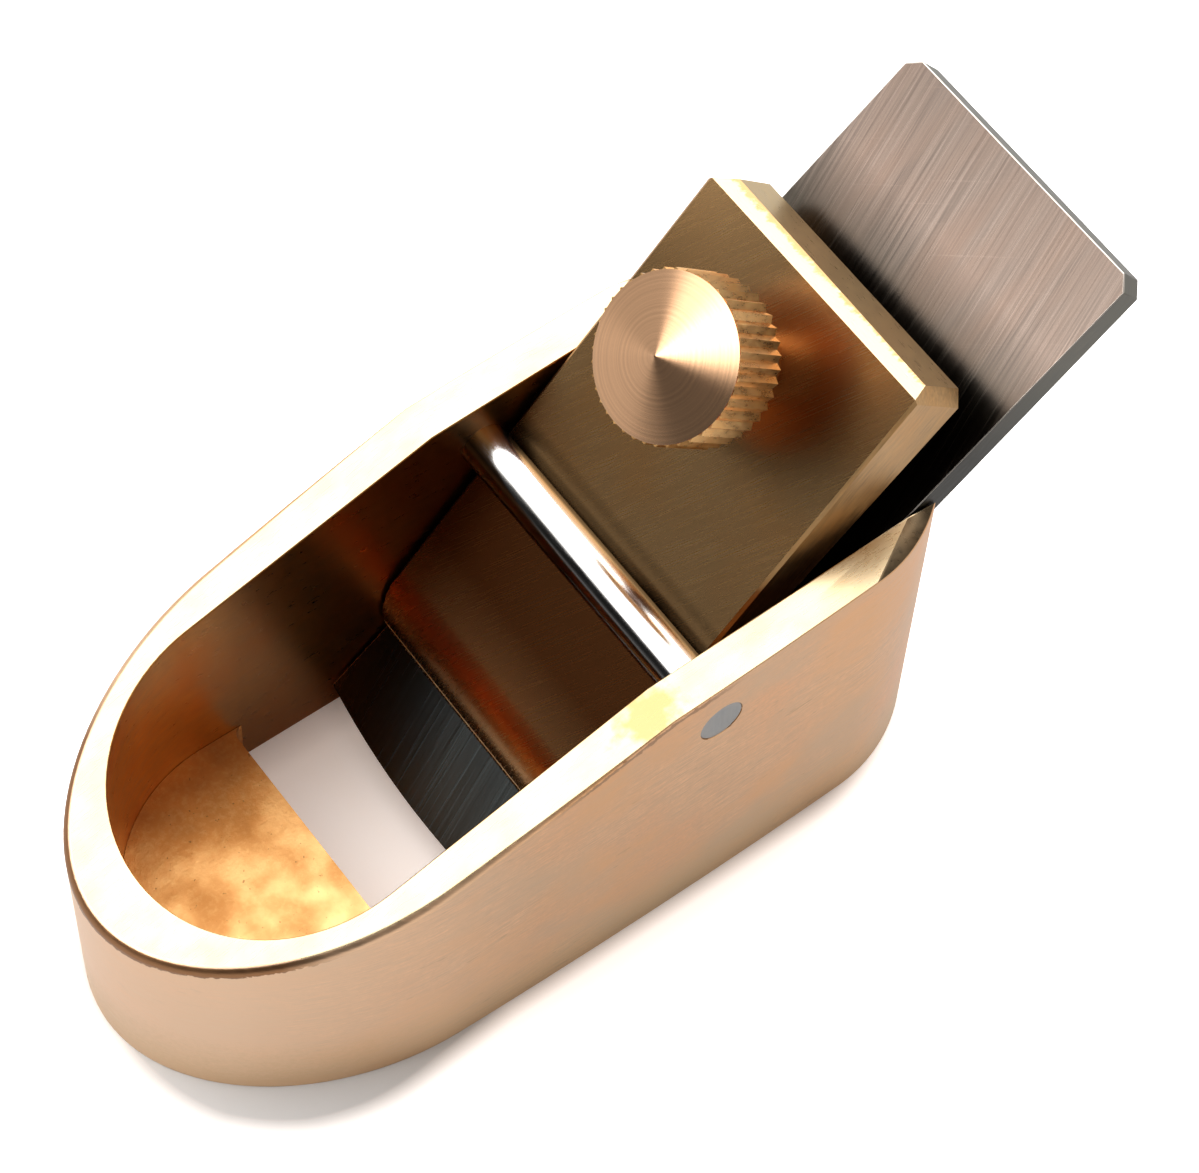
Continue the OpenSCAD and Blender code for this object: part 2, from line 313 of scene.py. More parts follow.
class Nodes:
    """Adds and joins the nodes of one tree."""

    def __init__(self, tree):
        self.tree = tree

    def set(self, socket, value):
        """Joins another socket to this one, or sets its number, vector or colour."""
        if isinstance(value, bpy.types.NodeSocket):
            self.tree.links.new(value, socket)
        elif isinstance(value, (int, float)):
            socket.default_value = value
        elif len(socket.default_value) == 4:
            socket.default_value = (*value[:3], 1.0)
        else:
            socket.default_value = value

    def add(self, kind, inputs=None, **settings):
        """A new node with its settings, and its inputs by name or number."""
        node = self.tree.nodes.new(kind)
        for key, value in settings.items():
            setattr(node, key, value)
        for key, value in (inputs or {}).items():
            self.set(node.inputs[key], value)
        return node

    def math(self, operation, first, second=0.0):
        """A sum, a product or the like of two sockets or numbers."""
        return self.add("ShaderNodeMath", {0: first, 1: second}, operation=operation).outputs[0]

    def length(self, x, y):
        """How far a point lies from the origin of a plane."""
        square = self.math("ADD", self.math("POWER", x, 2.0), self.math("POWER", y, 2.0))
        return self.math("SQRT", square)

    def remap(self, value, low, high, to_low=0.0, to_high=1.0, kind="LINEAR"):
        """A straight step of a value from one level to another."""
        node = self.add("ShaderNodeMapRange", {
            "Value": value, "From Min": low, "From Max": high, "To Min": to_low, "To Max": to_high,
        }, interpolation_type=kind)
        return node.outputs["Result"]

    def ramp(self, *step):
        """A smooth step of a value from one level to another."""
        return self.remap(*step, kind="SMOOTHSTEP")

    def between(self, value, start, full, last, end):
        """One between two places of a coordinate, fading to nothing outside them."""
        fall = self.remap(value, last, end, 1.0, 0.0)
        return self.math("MULTIPLY", self.remap(value, start, full), fall)

    def mix(self, factor, first, second):
        """A colour between two colours."""
        return self.add("ShaderNodeMix", {0: factor, 6: first, 7: second}, data_type="RGBA").outputs[2]

    def split(self, vector):
        """The three coordinates of a vector."""
        return self.add("ShaderNodeSeparateXYZ", {0: vector}).outputs


class Finish(Nodes):
    """The nodes of one material, laid out in the piece's own frame in millimetres."""

    def __init__(self, name):
        self.material = bpy.data.materials.new(name)
        self.material.use_nodes = True
        super().__init__(self.material.node_tree)
        self.shader = self.tree.nodes["Principled BSDF"]

    def grain(self):
        """The place in the piece's own frame."""
        return self.add("ShaderNodeAttribute", attribute_name="grain").outputs["Vector"]

    def part(self, axis):
        """One coordinate of the place in the piece's own frame."""
        return self.split(self.grain())[axis]

    def noise(self, scale, detail=4.0, roughness=0.55, offset=(0, 0, 0), turn=0.0):
        """Noise on the grain, stretched by a scale, after a turn in the piece's face."""
        turned = self.add("ShaderNodeVectorRotate", {"Vector": self.grain(), "Angle": turn},
                          rotation_type="Z_AXIS")
        place = self.add("ShaderNodeMapping", {
            "Vector": turned.outputs["Vector"], "Scale": scale, "Location": offset})
        node = self.add("ShaderNodeTexNoise", {
            "Vector": place.outputs["Vector"], "Scale": 1.0, "Detail": detail, "Roughness": roughness})
        return node.outputs["Fac"]

    def give(self, **values):
        """Sets or joins the shader's inputs, named with _ for a space."""
        for name, value in values.items():
            self.set(self.shader.inputs[name.replace("_", " ")], value)

    def lay(self, factor, colour):
        """Lays a colour over the base colour that is there."""
        under = self.shader.inputs["Base Color"].links[0].from_socket
        self.give(Base_Color=self.mix(factor, under, colour))

    def bump(self, height, strength, distance):
        """Raises the surface by a height."""
        node = self.add("ShaderNodeBump", {"Height": height, "Strength": strength, "Distance": distance})
        self.give(Normal=node.outputs["Normal"])


def shade(colour, factor):
    """A darker or lighter colour."""
    return tuple(channel * factor for channel in colour[:3])


def brushed(name, colour, scratch, blotch, rough, dark, light,
            tint=(1, 1, 1), bump=0.25, pits=0.0, turn=0.0, swing=0.12):
    """Brushed metal: fine scratches along one way, which the roughness follows, and soft blotches."""
    n = Finish(name)
    lines = n.noise(scratch, 5.0, 0.6, turn=turn)
    patches = n.noise(blotch, 3.0, 0.5)
    tinted = tuple(c * t for c, t in zip(colour, tint))
    n.give(Base_Color=n.mix(n.remap(lines, 0.3, 0.7), shade(colour, dark), shade(colour, light)))
    n.lay(n.remap(patches, 0.42, 0.68, 0.0, 0.6), tinted)
    if pits:
        deep = n.noise(tuple(0.4 + s * 0.2 for s in scratch), 3.0, 0.6, (7, 3, 5))
        n.lay(n.remap(deep, 0.66, 0.72, 0.0, pits), shade(colour, 0.45))
    n.give(Metallic=1.0, Roughness=n.remap(lines, 0.3, 0.7, rough - swing / 2, rough + swing / 2))
    n.bump(lines, bump, 0.02 * MM)
    return n


# Stage

# The photograph's camera: its place in millimetres, its ways to the right and back, and its lens
PHOTO_CAMERA = (66.79, 90.45, 205.66)
PHOTO_RIGHT = (-0.8033, 0.5947, 0.0324)
PHOTO_BACK = (0.3344, 0.4053, 0.8508)
PHOTO_LENS = 112.915
SENSOR = 36.0

# The arch of light: its level, and the heights, as a share of straight up, where it starts and is full
ARCH_LEVEL = 3.0
ARCH_LOW = 0.40
ARCH_HIGH = 0.53

# The paper: half its side, and how far it lies under the sole
PAPER_HALF = 1.6
PAPER_DROP = 0.02 * MM
# The body's plan on it: half its width, and how far the centres of its round ends lie from the middle
HALF_WIDTH = 13 * MM
END_CENTRE = 15 * MM


def softbox(name, place, target, size, radiance, colour):
    """A square lamp of a given brightness, as seen in a mirror."""
    data = bpy.data.lights.new(name, "AREA")
    data.shape = "SQUARE"
    data.size = size
    data.energy = radiance * math.pi * size * size
    data.color = colour
    lamp = bpy.data.objects.new(name, data)
    way = Vector(target) - Vector(place)
    lamp.matrix_world = Matrix.Translation(place) @ way.to_track_quat("-Z", "Y").to_matrix().to_4x4()
    bpy.context.scene.collection.objects.link(lamp)


def paper_floor():
    """White paper, which shows the plane's soft shadow only close to it."""
    form = bmesh.new()
    bmesh.ops.create_grid(form, x_segments=2, y_segments=2, size=PAPER_HALF)
    mesh = bpy.data.meshes.new("paper")
    form.to_mesh(mesh)
    form.free()
    floor = link("paper", mesh)
    floor.location.z = -PAPER_DROP
    n = Finish("white_paper")
    n.give(Base_Color=(0.90, 0.895, 0.90), Roughness=0.9, Specular_IOR_Level=0.1)
    path = n.add("ShaderNodeLightPath").outputs
    x, y, _ = n.split(n.add("ShaderNodeTexCoord").outputs["Object"])
    past_end = n.math("MAXIMUM", n.math("SUBTRACT", n.math("ABSOLUTE", x), END_CENTRE), 0.0)
    away = n.math("SUBTRACT", n.length(past_end, y), HALF_WIDTH)

    # To the camera: a glow under the plane and past its shadow, which is wider only by the toe's near side
    past_toe = n.remap(x, 8 * MM, 22 * MM, 1.2 * MM, 0.0)
    past_side = n.remap(y, 1 * MM, 9 * MM, 1.2 * MM, 0.0)
    beyond = n.math("ADD", away, n.math("MAXIMUM", past_toe, past_side))
    outside = n.remap(beyond, 0.9 * MM, 2.3 * MM, 0.0, 0.85)
    inside = n.remap(away, -5 * MM, -1 * MM, 0.31, 0.0)
    glow = n.math("ADD", outside, inside)
    # The glow is painted warmer close to the plane, as light thrown back by the brass
    n.give(Emission_Color=n.mix(n.remap(away, 0.4 * MM, 3.0 * MM), (1.0, 0.84, 0.74), (1, 1, 1)),
           Emission_Strength=n.math("MULTIPLY", path["Is Camera Ray"], glow))

    # To the metal: bright paper all round the plane
    mirrored = n.add("ShaderNodeEmission", {"Strength": 0.80})
    open_paper = n.remap(away, -0.5 * MM, 1.5 * MM, 0.0, 0.7)
    seen = n.math("MULTIPLY", path["Is Glossy Ray"], open_paper)
    pick = n.add("ShaderNodeMixShader", {0: seen, 1: n.shader.outputs[0], 2: mirrored.outputs[0]})
    n.set(n.tree.nodes["Material Output"].inputs["Surface"], pick.outputs[0])
    paint(floor, n.material)


def studio_world():
    """White to the camera; to the metal, an arch of light over the far side of a dim room."""
    world = bpy.data.worlds.new("studio")
    bpy.context.scene.world = world
    world.use_nodes = True
    world.node_tree.nodes.clear()
    n = Nodes(world.node_tree)
    x, y, z = n.split(n.add("ShaderNodeTexCoord").outputs["Generated"])

    def both(first, second):
        return n.math("MULTIPLY", first, second)

    # The arch: how far its lower edge sinks, how high and how far along it lies, and its gain by the toe
    sunk = n.math("SUBTRACT", both(x, 0.12), n.ramp(y, -0.36, -0.20, 0.0, 0.01))
    high = n.ramp(n.math("SUBTRACT", z, sunk), ARCH_LOW, ARCH_HIGH)
    far = both(n.ramp(y, -0.02, -0.18), n.ramp(y, -0.85, -0.6))
    gain = both(n.ramp(y, -0.50, -0.30), n.ramp(x, 0.50, 0.62))
    arch = both(both(both(high, far), ARCH_LEVEL), n.math("ADD", gain, 1.0))
    # The room, a window on the far side, the horizon, and weak light from the near side and past the toe
    level = n.math("ADD", arch, n.ramp(x, -0.5, 0.7, 0.30, 0.09))
    window = n.ramp(y, -0.50, -0.68, 0.0, 0.62)
    horizon = n.ramp(z, 0.14, 0.0, 0.0, 0.32)
    near_side = both(n.ramp(y, 0.2, 0.5, 0.0, 0.40), n.ramp(x, 0.4, 0.1))
    past_toe = both(n.ramp(y, -0.30, -0.12, 0.0, 0.08), n.ramp(x, 0.75, 0.92))
    for light in (window, horizon, near_side, past_toe):
        level = n.math("ADD", level, light)
    tent = n.add("ShaderNodeBackground", {"Color": (1.0, 0.985, 0.965), "Strength": level})
    white = n.add("ShaderNodeBackground", {"Color": (1, 1, 1)})
    camera_ray = n.add("ShaderNodeLightPath").outputs["Is Camera Ray"]
    pick = n.add("ShaderNodeMixShader", {0: camera_ray, 1: tent.outputs[0], 2: white.outputs[0]})
    n.add("ShaderNodeOutputWorld", {"Surface": pick.outputs[0]})


class PLANE_OT_stage(bpy.types.Operator):
    """Make the world's light, the paper, one lamp and the photograph's camera"""

    bl_idname = "thumb_plane.stage"
    bl_label = "Stage and camera"

    def execute(self, context):
        studio_world()
        paper_floor()
        softbox("heel_softbox", place=(-0.30, -0.17, 0.24), target=(0, 0, 12 * MM), size=0.20,
                radiance=3.0, colour=(1.0, 0.99, 0.97))
        data = bpy.data.cameras.new("photo_camera")
        data.lens = PHOTO_LENS
        data.sensor_width = SENSOR
        data.clip_start = 0.01
        camera = bpy.data.objects.new("photo_camera", data)
        right, back = Vector(PHOTO_RIGHT), Vector(PHOTO_BACK)
        turn = Matrix((right, back.cross(right), back)).transposed().to_4x4()
        camera.matrix_world = Matrix.Translation(Vector(PHOTO_CAMERA) * MM) @ turn
        context.scene.collection.objects.link(camera)
        context.scene.camera = camera
        context.scene.view_settings.view_transform = "Standard"
        return {"FINISHED"}


# Body

# The rim's height over the pin and at the bend, how far back these lie, and its slopes as tangents
RIM_AT_PIN = 23.2
RIM_AT_BEND = 23.01
PIN_BACK = 6.7
BEND_BACK = 3.1
RIM_RISE = math.tan(math.radians(3.0))
RIM_FALL = math.tan(math.radians(16.3))
# Where along x the rim's rounding is gone and where it is full, in millimetres
ROUND_GONE = -6.0
ROUND_FULL = 14.0
# The middle of the yellower spot on the rim, in millimetres
RIM_SPOT = (-2.4, 11.6)


def is_outer(point, normal):
    """True where a wall's face looks away from the body's middle line."""
    low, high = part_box("body")
    half = (high.y - low.y) / 2
    x = min(max(point.x, low.x + half), high.x - 1.3 * half)
    away = Vector((point.x - x, point.y, 0))
    return away.dot(Vector((normal.x, normal.y, 0))) > 0


def is_outer_rim(edge):
    """True for an edge between the rim and an outer wall."""
    up = [f for f in edge.link_faces if f.normal.z > 0.8]
    wall = [f for f in edge.link_faces if abs(f.normal.z) < 0.2]
    return up and wall and is_outer(edge.verts[0].co, wall[0].normal)


class PLANE_OT_body(bpy.types.Operator):
    """Make the body with its rounded rim"""

    bl_idname = "thumb_plane.body"
    bl_label = "Body"

    def execute(self, context):
        sizes, colours = context.scene.plane_sizes, context.scene.plane_colours
        body = solid_copy("body", "body_walls")
        share = sizes.edge_break / sizes.rim_round

        def weight(edge):
            """Full at the toe's outer rim, least at the heel, and none round the pin's holes."""
            middle = (edge.verts[0].co + edge.verts[1].co) / 2
            if is_outer_rim(edge):
                fade = (middle.x - ROUND_GONE * MM) / ((ROUND_FULL - ROUND_GONE) * MM)
                return min(max(fade, share), 1.0)
            if math.hypot(middle.x - PIN_AXIS.x, middle.z - PIN_AXIS.z) < 2 * MM:
                return 0.0
            return share

        def pick(face):
            """The heel's corners, the rim and the inner faces; the rest is outer wall."""
            if face.normal.y > 0.2 and face.normal.z > 0.85 and face.center.x < -17 * MM:
                return 3
            if face.normal.z > 0.93 and face.center.z > 9 * MM:
                return 1
            return 2 if face.normal.z > -0.5 and not is_outer(face.center, face.normal) else 0

        close_slivers(body, 0.2 * MM)
        split_edges(body, is_outer_rim, 2 * MM)
        round_edges(body, sizes.rim_round, weight, segments=5, clamp=False, miter="MITER_SHARP")
        set_grain(body, Matrix.Identity(4))
        paint(body, side_brass(colours), rim_brass(colours), inside_brass(colours),
              heel_brass(colours), pick=pick)
        finish_piece(body, "body", "plane_body")
        return {"FINISHED"}


def below_rim(n):
    """Depth under the rim's two sloping planes, in millimetres."""
    x, z = n.part(0), n.part(2)
    back = n.math("SUBTRACT", RIM_AT_PIN, n.math("MULTIPLY", n.math("ADD", x, PIN_BACK), RIM_RISE))
    front = n.math("SUBTRACT", RIM_AT_BEND, n.math("MULTIPLY", n.math("ADD", x, BEND_BACK), RIM_FALL))
    return n.math("SUBTRACT", n.math("MINIMUM", back, front), z)


def side_brass(colours):
    """Brushed, stained walls, painted dark brown at the rim's rounded edge round the toe as its dark
    reflection, and in a thin dark line by the bend.
    """
    n = brushed("side_brass", colours.side, (0.6, 0.6, 8.0), (0.14, 0.14, 0.12), 0.36,
                dark=0.76, light=1.18, tint=(1.06, 0.90, 0.78), bump=0.5, pits=0.5)
    x, y, z = n.part(0), n.part(1), n.part(2)
    mottle = n.remap(n.noise((2.6, 2.6, 3.4), 4.0, 0.7, (3, 1, 8)), 0.35, 0.65, 0.0, 0.5)
    stain = n.noise((0.11, 0.11, 0.16), 3.0, 0.55, (2, 5, 9))
    dull = n.noise((0.10, 0.10, 0.14), 3.0, 0.55, (6, 1, 4))
    ragged = n.math("ADD", z, n.remap(mottle, 0.0, 0.5, -1.0, 1.0))
    n.lay(mottle, shade(colours.side, 0.80))
    n.lay(n.remap(stain, 0.48, 0.66, 0.0, 0.8), (0.80, 0.44, 0.21))
    n.lay(n.remap(dull, 0.50, 0.68, 0.0, 0.7), (0.66, 0.44, 0.27))
    n.lay(n.remap(x, 6.0, 24.0, 0.0, 0.75), colours.toe_side)
    n.lay(n.remap(ragged, 1.0, 6.0, 0.45, 0.0), (0.60, 0.42, 0.2025))

    fray = n.remap(n.noise((1.6, 1.6, 3.0), 4.0, 0.7), 0.3, 0.7, -0.16, 0.16)
    depth = below_rim(n)
    frayed = n.math("ADD", depth, fray)
    lower = n.remap(y, -8.0, 9.5, 1.0, 0.48)
    band = n.math("MULTIPLY", n.remap(depth, 0.02, 0.05), n.math("LESS_THAN", frayed, lower))
    toe = n.math("MULTIPLY", n.remap(x, 15.0, 20.0), n.between(y, -11.0, -9.0, 9.8, 11.8))
    # Painted dark reflection on the rim's rounded edge round the toe
    n.lay(n.math("MULTIPLY", band, toe), colours.rim_edge_dark)
    # A thin dark brown line on the rounded edge by the bend
    by_bend = n.between(x, -8.5, -5.5, 2.5, 5.5)
    line = n.math("MULTIPLY", n.between(frayed, 0.12, 0.20, 0.46, 0.56), by_bend)
    n.lay(n.math("MULTIPLY", line, 0.8), colours.rim_edge_dark)
    return n.material


def heel_brass(colours):
    """The dark filed corners of the heel."""
    return brushed("heel_brass", colours.heel, (1.5, 1.5, 3.0), (0.5, 0.5, 0.5), 0.3,
                   dark=0.75, light=1.1, tint=(1.1, 1.0, 0.9), bump=0.3).material


def rim_brass(colours):
    """Bright filed rim, with one yellower spot just ahead of the bend."""
    n = brushed("rim_brass", colours.rim, (1.2, 7.0, 1.0), (0.3, 0.5, 0.3), 0.28,
                dark=0.94, light=1.06, tint=(1.05, 0.9, 0.7), bump=0.06, swing=0.03)
    along = n.math("SUBTRACT", n.part(0), RIM_SPOT[0])
    reach = n.length(along, n.math("SUBTRACT", n.part(1), RIM_SPOT[1]))
    ragged = n.math("ADD", reach, n.remap(n.noise((0.9, 0.9, 0.9)), 0.3, 0.7, -0.8, 0.8))
    n.lay(n.remap(ragged, 1.2, 2.4, 0.9, 0.0), (0.42, 0.31, 0.13))
    return n.material


def inside_brass(colours):
    """Inner faces: orange round the toe, browner and duller towards the bed as painted shade."""
    n = brushed("inside_brass", colours.inside, (0.8, 0.8, 2.2), (0.25, 0.25, 0.2), 0.32,
                dark=0.85, light=1.08, tint=(1.1, 0.8, 0.55), bump=0.2)
    # Painted shade deeper in the throat, towards the bed
    n.lay(n.remap(n.part(0), 19.0, 11.0, 0.0, 0.62), (0.10, 0.04, 0.012))
    return n.material


class PLANE_OT_toe_plate(bpy.types.Operator):
    """Make the toe plate with its line of solder"""

    bl_idname = "thumb_plane.toe_plate"
    bl_label = "Toe plate"

    def execute(self, context):
        sizes, colours = context.scene.plane_sizes, context.scene.plane_colours
        plate = solid_copy("toe_plate", "toe_plate_dressed")
        round_edges(plate, sizes.edge_break)
        set_grain(plate, Matrix.Identity(4))

        def pick(face):
            return 1 if 0.15 < face.normal.z < 0.96 and face.center.x > 9 * MM else 0

        paint(plate, toe_brass(colours), solder(), pick=pick)
        finish_piece(plate, "toe_plate", "plane_body")
        return {"FINISHED"}


class PLANE_OT_bed(bpy.types.Operator):
    """Make the bed block that the blade lies on"""

    bl_idname = "thumb_plane.bed"
    bl_label = "Bed block"

    def execute(self, context):
        sizes, colours = context.scene.plane_sizes, context.scene.plane_colours
        bed = solid_copy("bed_block", "bed_block_dressed")
        round_edges(bed, sizes.edge_break)
        set_grain(bed, Matrix.Identity(4))
        paint(bed, inside_brass(colours))
        finish_piece(bed, "bed_block", "plane_body")
        return {"FINISHED"}


class PLANE_OT_pin(bpy.types.Operator):
    """Make the steel cross pin with its dressed ends"""

    bl_idname = "thumb_plane.pin"
    bl_label = "Cross pin"

    def execute(self, context):
        colours = context.scene.plane_colours
        pin = turned("cross_pin_dressed", full_rings(pin_profile(), 96), pin_frame(), 96)
        smooth(pin, 50)
        set_grain(pin, pin_frame())
        paint(pin, pin_steel(colours), pin_end_steel(colours),
              pick=lambda face: 1 if abs(face.normal.y) > 0.5 else 0)
        finish_piece(pin, "cross_pin", "plane_body")
        return {"FINISHED"}


def solder():
    """The thin light line of solder where the toe plate meets the wall."""
    n = Finish("solder")
    n.give(Base_Color=(0.92, 0.70, 0.40), Metallic=1.0, Roughness=0.5)
    return n.material


def toe_brass(colours):
    """Mottled brass with brown clouds, pale flecks and dark pits, painted paler towards the near side, away
    from the far wall's shade.
    """
    n = Finish("toe_brass")
    mottle = n.noise((0.42, 0.42, 0.42), 3.0, 0.45)
    fine = n.noise((3.2, 3.2, 3.2), 4.0, 0.6, (4, 9, 2))
    pits = n.noise((3.4, 3.4, 3.4), 2.0, 0.5, (1, 2, 3))
    # Painted light: paler towards the near side, with painted shade under the far wall
    near = n.remap(n.math("ADD", n.part(1), n.remap(mottle, 0.3, 0.7, 3.4, -3.4)), -6.0, 9.0)
    n.give(Base_Color=n.mix(near, colours.toe, colours.toe_near))
    n.lay(n.remap(mottle, 0.40, 0.66, 0.04, 0.48), (0.60, 0.285, 0.085))
    n.lay(n.remap(fine, 0.46, 0.72, 0.0, 0.36), (0.88, 0.56, 0.22))
    n.lay(n.remap(pits, 0.70, 0.76, 0.0, 0.7), (0.22, 0.11, 0.04))
    n.give(Metallic=1.0, Roughness=n.remap(mottle, 0.3, 0.7, 0.42, 0.58))
    n.bump(n.math("ADD", fine, n.math("MULTIPLY", pits, -0.8)), 0.35, 0.05 * MM)
    return n.material


def pin_steel(colours):
    """Bright drawn steel, with painted dark reflections along the sides that face the throat and the cap.
    """
    n = brushed("pin_steel", colours.pin, (9.0, 9.0, 0.7), (0.4, 0.4, 0.3), 0.16,
                dark=0.92, light=1.06, tint=(1.0, 0.98, 0.95), bump=0.08)
    # Painted dark reflections on both sides of the pin
    front = n.remap(n.part(1), 0.75, 1.05, 0.0, 0.92)
    back = n.remap(n.part(1), -1.05, -1.30, 0.0, 0.75)
    n.lay(n.math("MAXIMUM", front, back), shade(colours.pin, 0.08))
    return n.material


def pin_end_steel(colours):
    """The pin's duller filed ends."""
    return brushed("pin_end_steel", shade(colours.pin, 0.6), (0.6, 5.0, 1.0), (0.9, 0.9, 0.9), 0.45,
                   dark=0.85, light=1.1, tint=(1.1, 1.05, 1.0), bump=0.3).material


def pin_profile():
    """Radius and place along the pin, from end to end, with slightly sunk and dressed ends."""
    low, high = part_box("cross_pin")
    half = (high.y - low.y) / 2 - 0.03 * MM
    r = (high.z - low.z) / 2
    end = [(0.0, half - 0.05 * MM), (r * 0.7, half - 0.03 * MM), (r - 0.12 * MM, half),
           (r - 0.03 * MM, half - 0.03 * MM), (r, half - 0.12 * MM)]
    return [(q, -z) for q, z in end] + [(q, z) for q, z in reversed(end)]


def full_rings(profile, segments):
    """A ring for each (radius, height) point, or a single point on the axis."""
    return [[place] * (segments if place[0] > 0 else 1) for place in profile]


def turned(name, rings, matrix, segments):
    """A closed piece round an axis, from rings of (radius, height); a single point closes an end."""
    form = bmesh.new()
    made = []
    for ring in rings:
        made.append([form.verts.new(matrix @ Vector((
            q * math.cos(2 * math.pi * i / segments), q * math.sin(2 * math.pi * i / segments), z)))
            for i, (q, z) in enumerate(ring)])
    for lower, upper in zip(made, made[1:]):
        for i in range(segments):
            j = (i + 1) % segments
            if len(lower) == 1:
                form.faces.new((lower[0], upper[j], upper[i]))
            elif len(upper) == 1:
                form.faces.new((lower[i], lower[j], upper[0]))
            else:
                form.faces.new((lower[i], lower[j], upper[j], upper[i]))
    bmesh.ops.recalc_face_normals(form, faces=form.faces)
    mesh = bpy.data.meshes.new(name)
    form.to_mesh(mesh)
    form.free()
    return link(name, mesh)


# Blade and lever cap

# Places along the blade and the cap, in their own frames in millimetres:
# where the blade's painted dark reflection at the mouth end stops, where the pin crosses the cap, and the
# tip of the cap's nose
MOUTH_END = -17.0
PIN_ON_CAP = -15.4
NOSE_END = -30.65
# A painted shade spreads from under the cap's tail over the blade, and the grinding runs a little askew
CAP_SHADE_START = 15.6
CAP_SHADE_END = 20.2
BLADE_GRIND = math.radians(-13.0)
CAP_GRIND = math.radians(27.0)
# The middle of the painted shade beside the thumbscrew on the cap
SCREW_SHADE = (1.0, -7.0)


class PLANE_OT_blade(bpy.types.Operator):
    """Make the ground steel blade"""

    bl_idname = "thumb_plane.blade"
    bl_label = "Blade"

    def execute(self, context):
        sizes, colours = context.scene.plane_sizes, context.scene.plane_colours
        blade = solid_copy("blade", "blade_dressed")
        round_edges(blade, sizes.blade_break, sharp=20)
        set_grain(blade, blade_frame())
        out = blade_frame().to_3x3() @ Vector((0, 0, 1))

        def pick(face):
            """The sides and the rounded edges; the rest is ground face."""
            facing = face.normal.dot(out)
            if abs(facing) < 0.3:
                return 1
            return 2 if 0.3 <= facing < 0.97 else 0

        paint(blade, blade_steel(colours), blade_edge(colours), arris_highlight(), pick=pick)
        finish_piece(blade, "blade", "plane_blade")
        return {"FINISHED"}


def blade_edge(colours):
    """The dark scale left on the blade's sides and top end, with painted shade near the cap's tail."""
    n = brushed("blade_edge", (0.12, 0.11, 0.088), (0.8, 0.8, 3.0), (0.3, 0.3, 0.3), 0.38,
                dark=0.7, light=1.3, tint=(0.95, 1.0, 1.0), bump=0.3)
    # Painted shade of the cap's tail, on the sides too
    n.lay(n.remap(n.part(0), CAP_SHADE_START - 3, CAP_SHADE_END, 0.8, 0.0), shade(colours.steel, 0.05))
    return n.material


def arris_highlight():
    """The painted highlight along the blade's rounded edges: a much paler steel."""
    n = Finish("arris_highlight")
    n.give(Base_Color=(0.55, 0.50, 0.45), Metallic=1.0, Roughness=0.3)
    return n.material


def blade_steel(colours):
    """Ground steel with askew scratches, with painted shade under the cap's tail and a painted dark
    reflection at the mouth.
    """
    n = brushed("blade_steel", colours.steel, (0.07, 4.5, 3.0), (0.08, 0.5, 0.3), 0.24,
                dark=0.52, light=1.36, tint=(1.05, 0.93, 0.86), bump=0.5, turn=BLADE_GRIND)
    x = n.part(0)
    fine = n.noise((0.12, 13.0, 3.0), 3.0, 0.6, (5, 2, 1), BLADE_GRIND)
    crossed = n.noise((0.10, 16.0, 3.0), 2.0, 0.5, (8, 6, 2), BLADE_GRIND + math.radians(62))
    n.lay(n.remap(fine, 0.58, 0.70, 0.0, 0.5), shade(colours.steel, 1.5))
    n.lay(n.remap(crossed, 0.66, 0.74, 0.0, 0.3), shade(colours.steel, 1.5))
    n.lay(n.remap(x, 20.0, 27.0, 0.0, 0.36), shade(colours.steel, 0.5))
    # Painted shade of the cap's tail, darkest under it and fading up the blade
    n.lay(n.remap(x, CAP_SHADE_START, CAP_SHADE_END, 0.80, 0.0), (0.018, 0.018, 0.014))
    # Painted dark reflection of the throat on the blade's mouth end
    n.lay(n.remap(x, MOUTH_END - 1.5, MOUTH_END + 1.0, 1.0, 0.0), (0.040, 0.045, 0.045))
    return n.material


class PLANE_OT_cap(bpy.types.Operator):
    """Make the lever cap"""

    bl_idname = "thumb_plane.cap"
    bl_label = "Lever cap"

    def execute(self, context):
        sizes, colours = context.scene.plane_sizes, context.scene.plane_colours
        cap = solid_copy("lever_cap", "lever_cap_dressed")
        inverse, turn = cap_frame().inverted(), cap_frame().to_3x3()
        tail = max((inverse @ v.co).x for v in cap.data.vertices)
        for vertex in cap.data.vertices:
            place = inverse @ vertex.co
            if place.x > tail - 0.05 * MM and place.z > -1.5 * MM:
                vertex.co += turn @ Vector((0, 0, -sizes.tail_file))

        half = max(abs((inverse @ v.co).y) for v in cap.data.vertices)
        depth = sizes.corner_cut / math.sqrt(2)
        for side in (-1, 1):
            corner = cap_frame() @ Vector((tail, side * half, 0))
            diagonal = turn @ Vector((1, side, 0)).normalized()
            cut_corner(cap, corner - diagonal * depth, diagonal)
        round_edges(cap, sizes.edge_break * 0.7, sharp=18)
        set_grain(cap, cap_frame())

        def pick(face):
            """The tail's slope and end, the nose's lip and the sides; the rest is the cap's brass."""
            normal = turn.transposed() @ face.normal
            if normal.x > 0.3 and normal.z > 0.3:
                return 2
            if normal.x > 0.8:
                return 3
            if normal.x < -0.76 and (inverse @ face.center).x < (NOSE_END + 4) * MM:
                return 4
            return 1 if abs(face.normal.y) > 0.6 else 0

        # The sides and the tail end are painted lighter than the top, as light falls on them; the nose's
        # lip is a real blunt edge, painted pale cream as its highlight
        paint(cap, cap_brass(colours), cap_side_lit_brass(colours), tail_slope_brass(colours),
              filed_brass("cap_tail_end_lit", (0.55, 0.40, 0.20)).material,
              filed_brass("cap_nose_lip_highlight", (0.90, 0.70, 0.42), 0.0, 0.03).material, pick=pick)
        finish_piece(cap, "lever_cap", "cap")
        return {"FINISHED"}


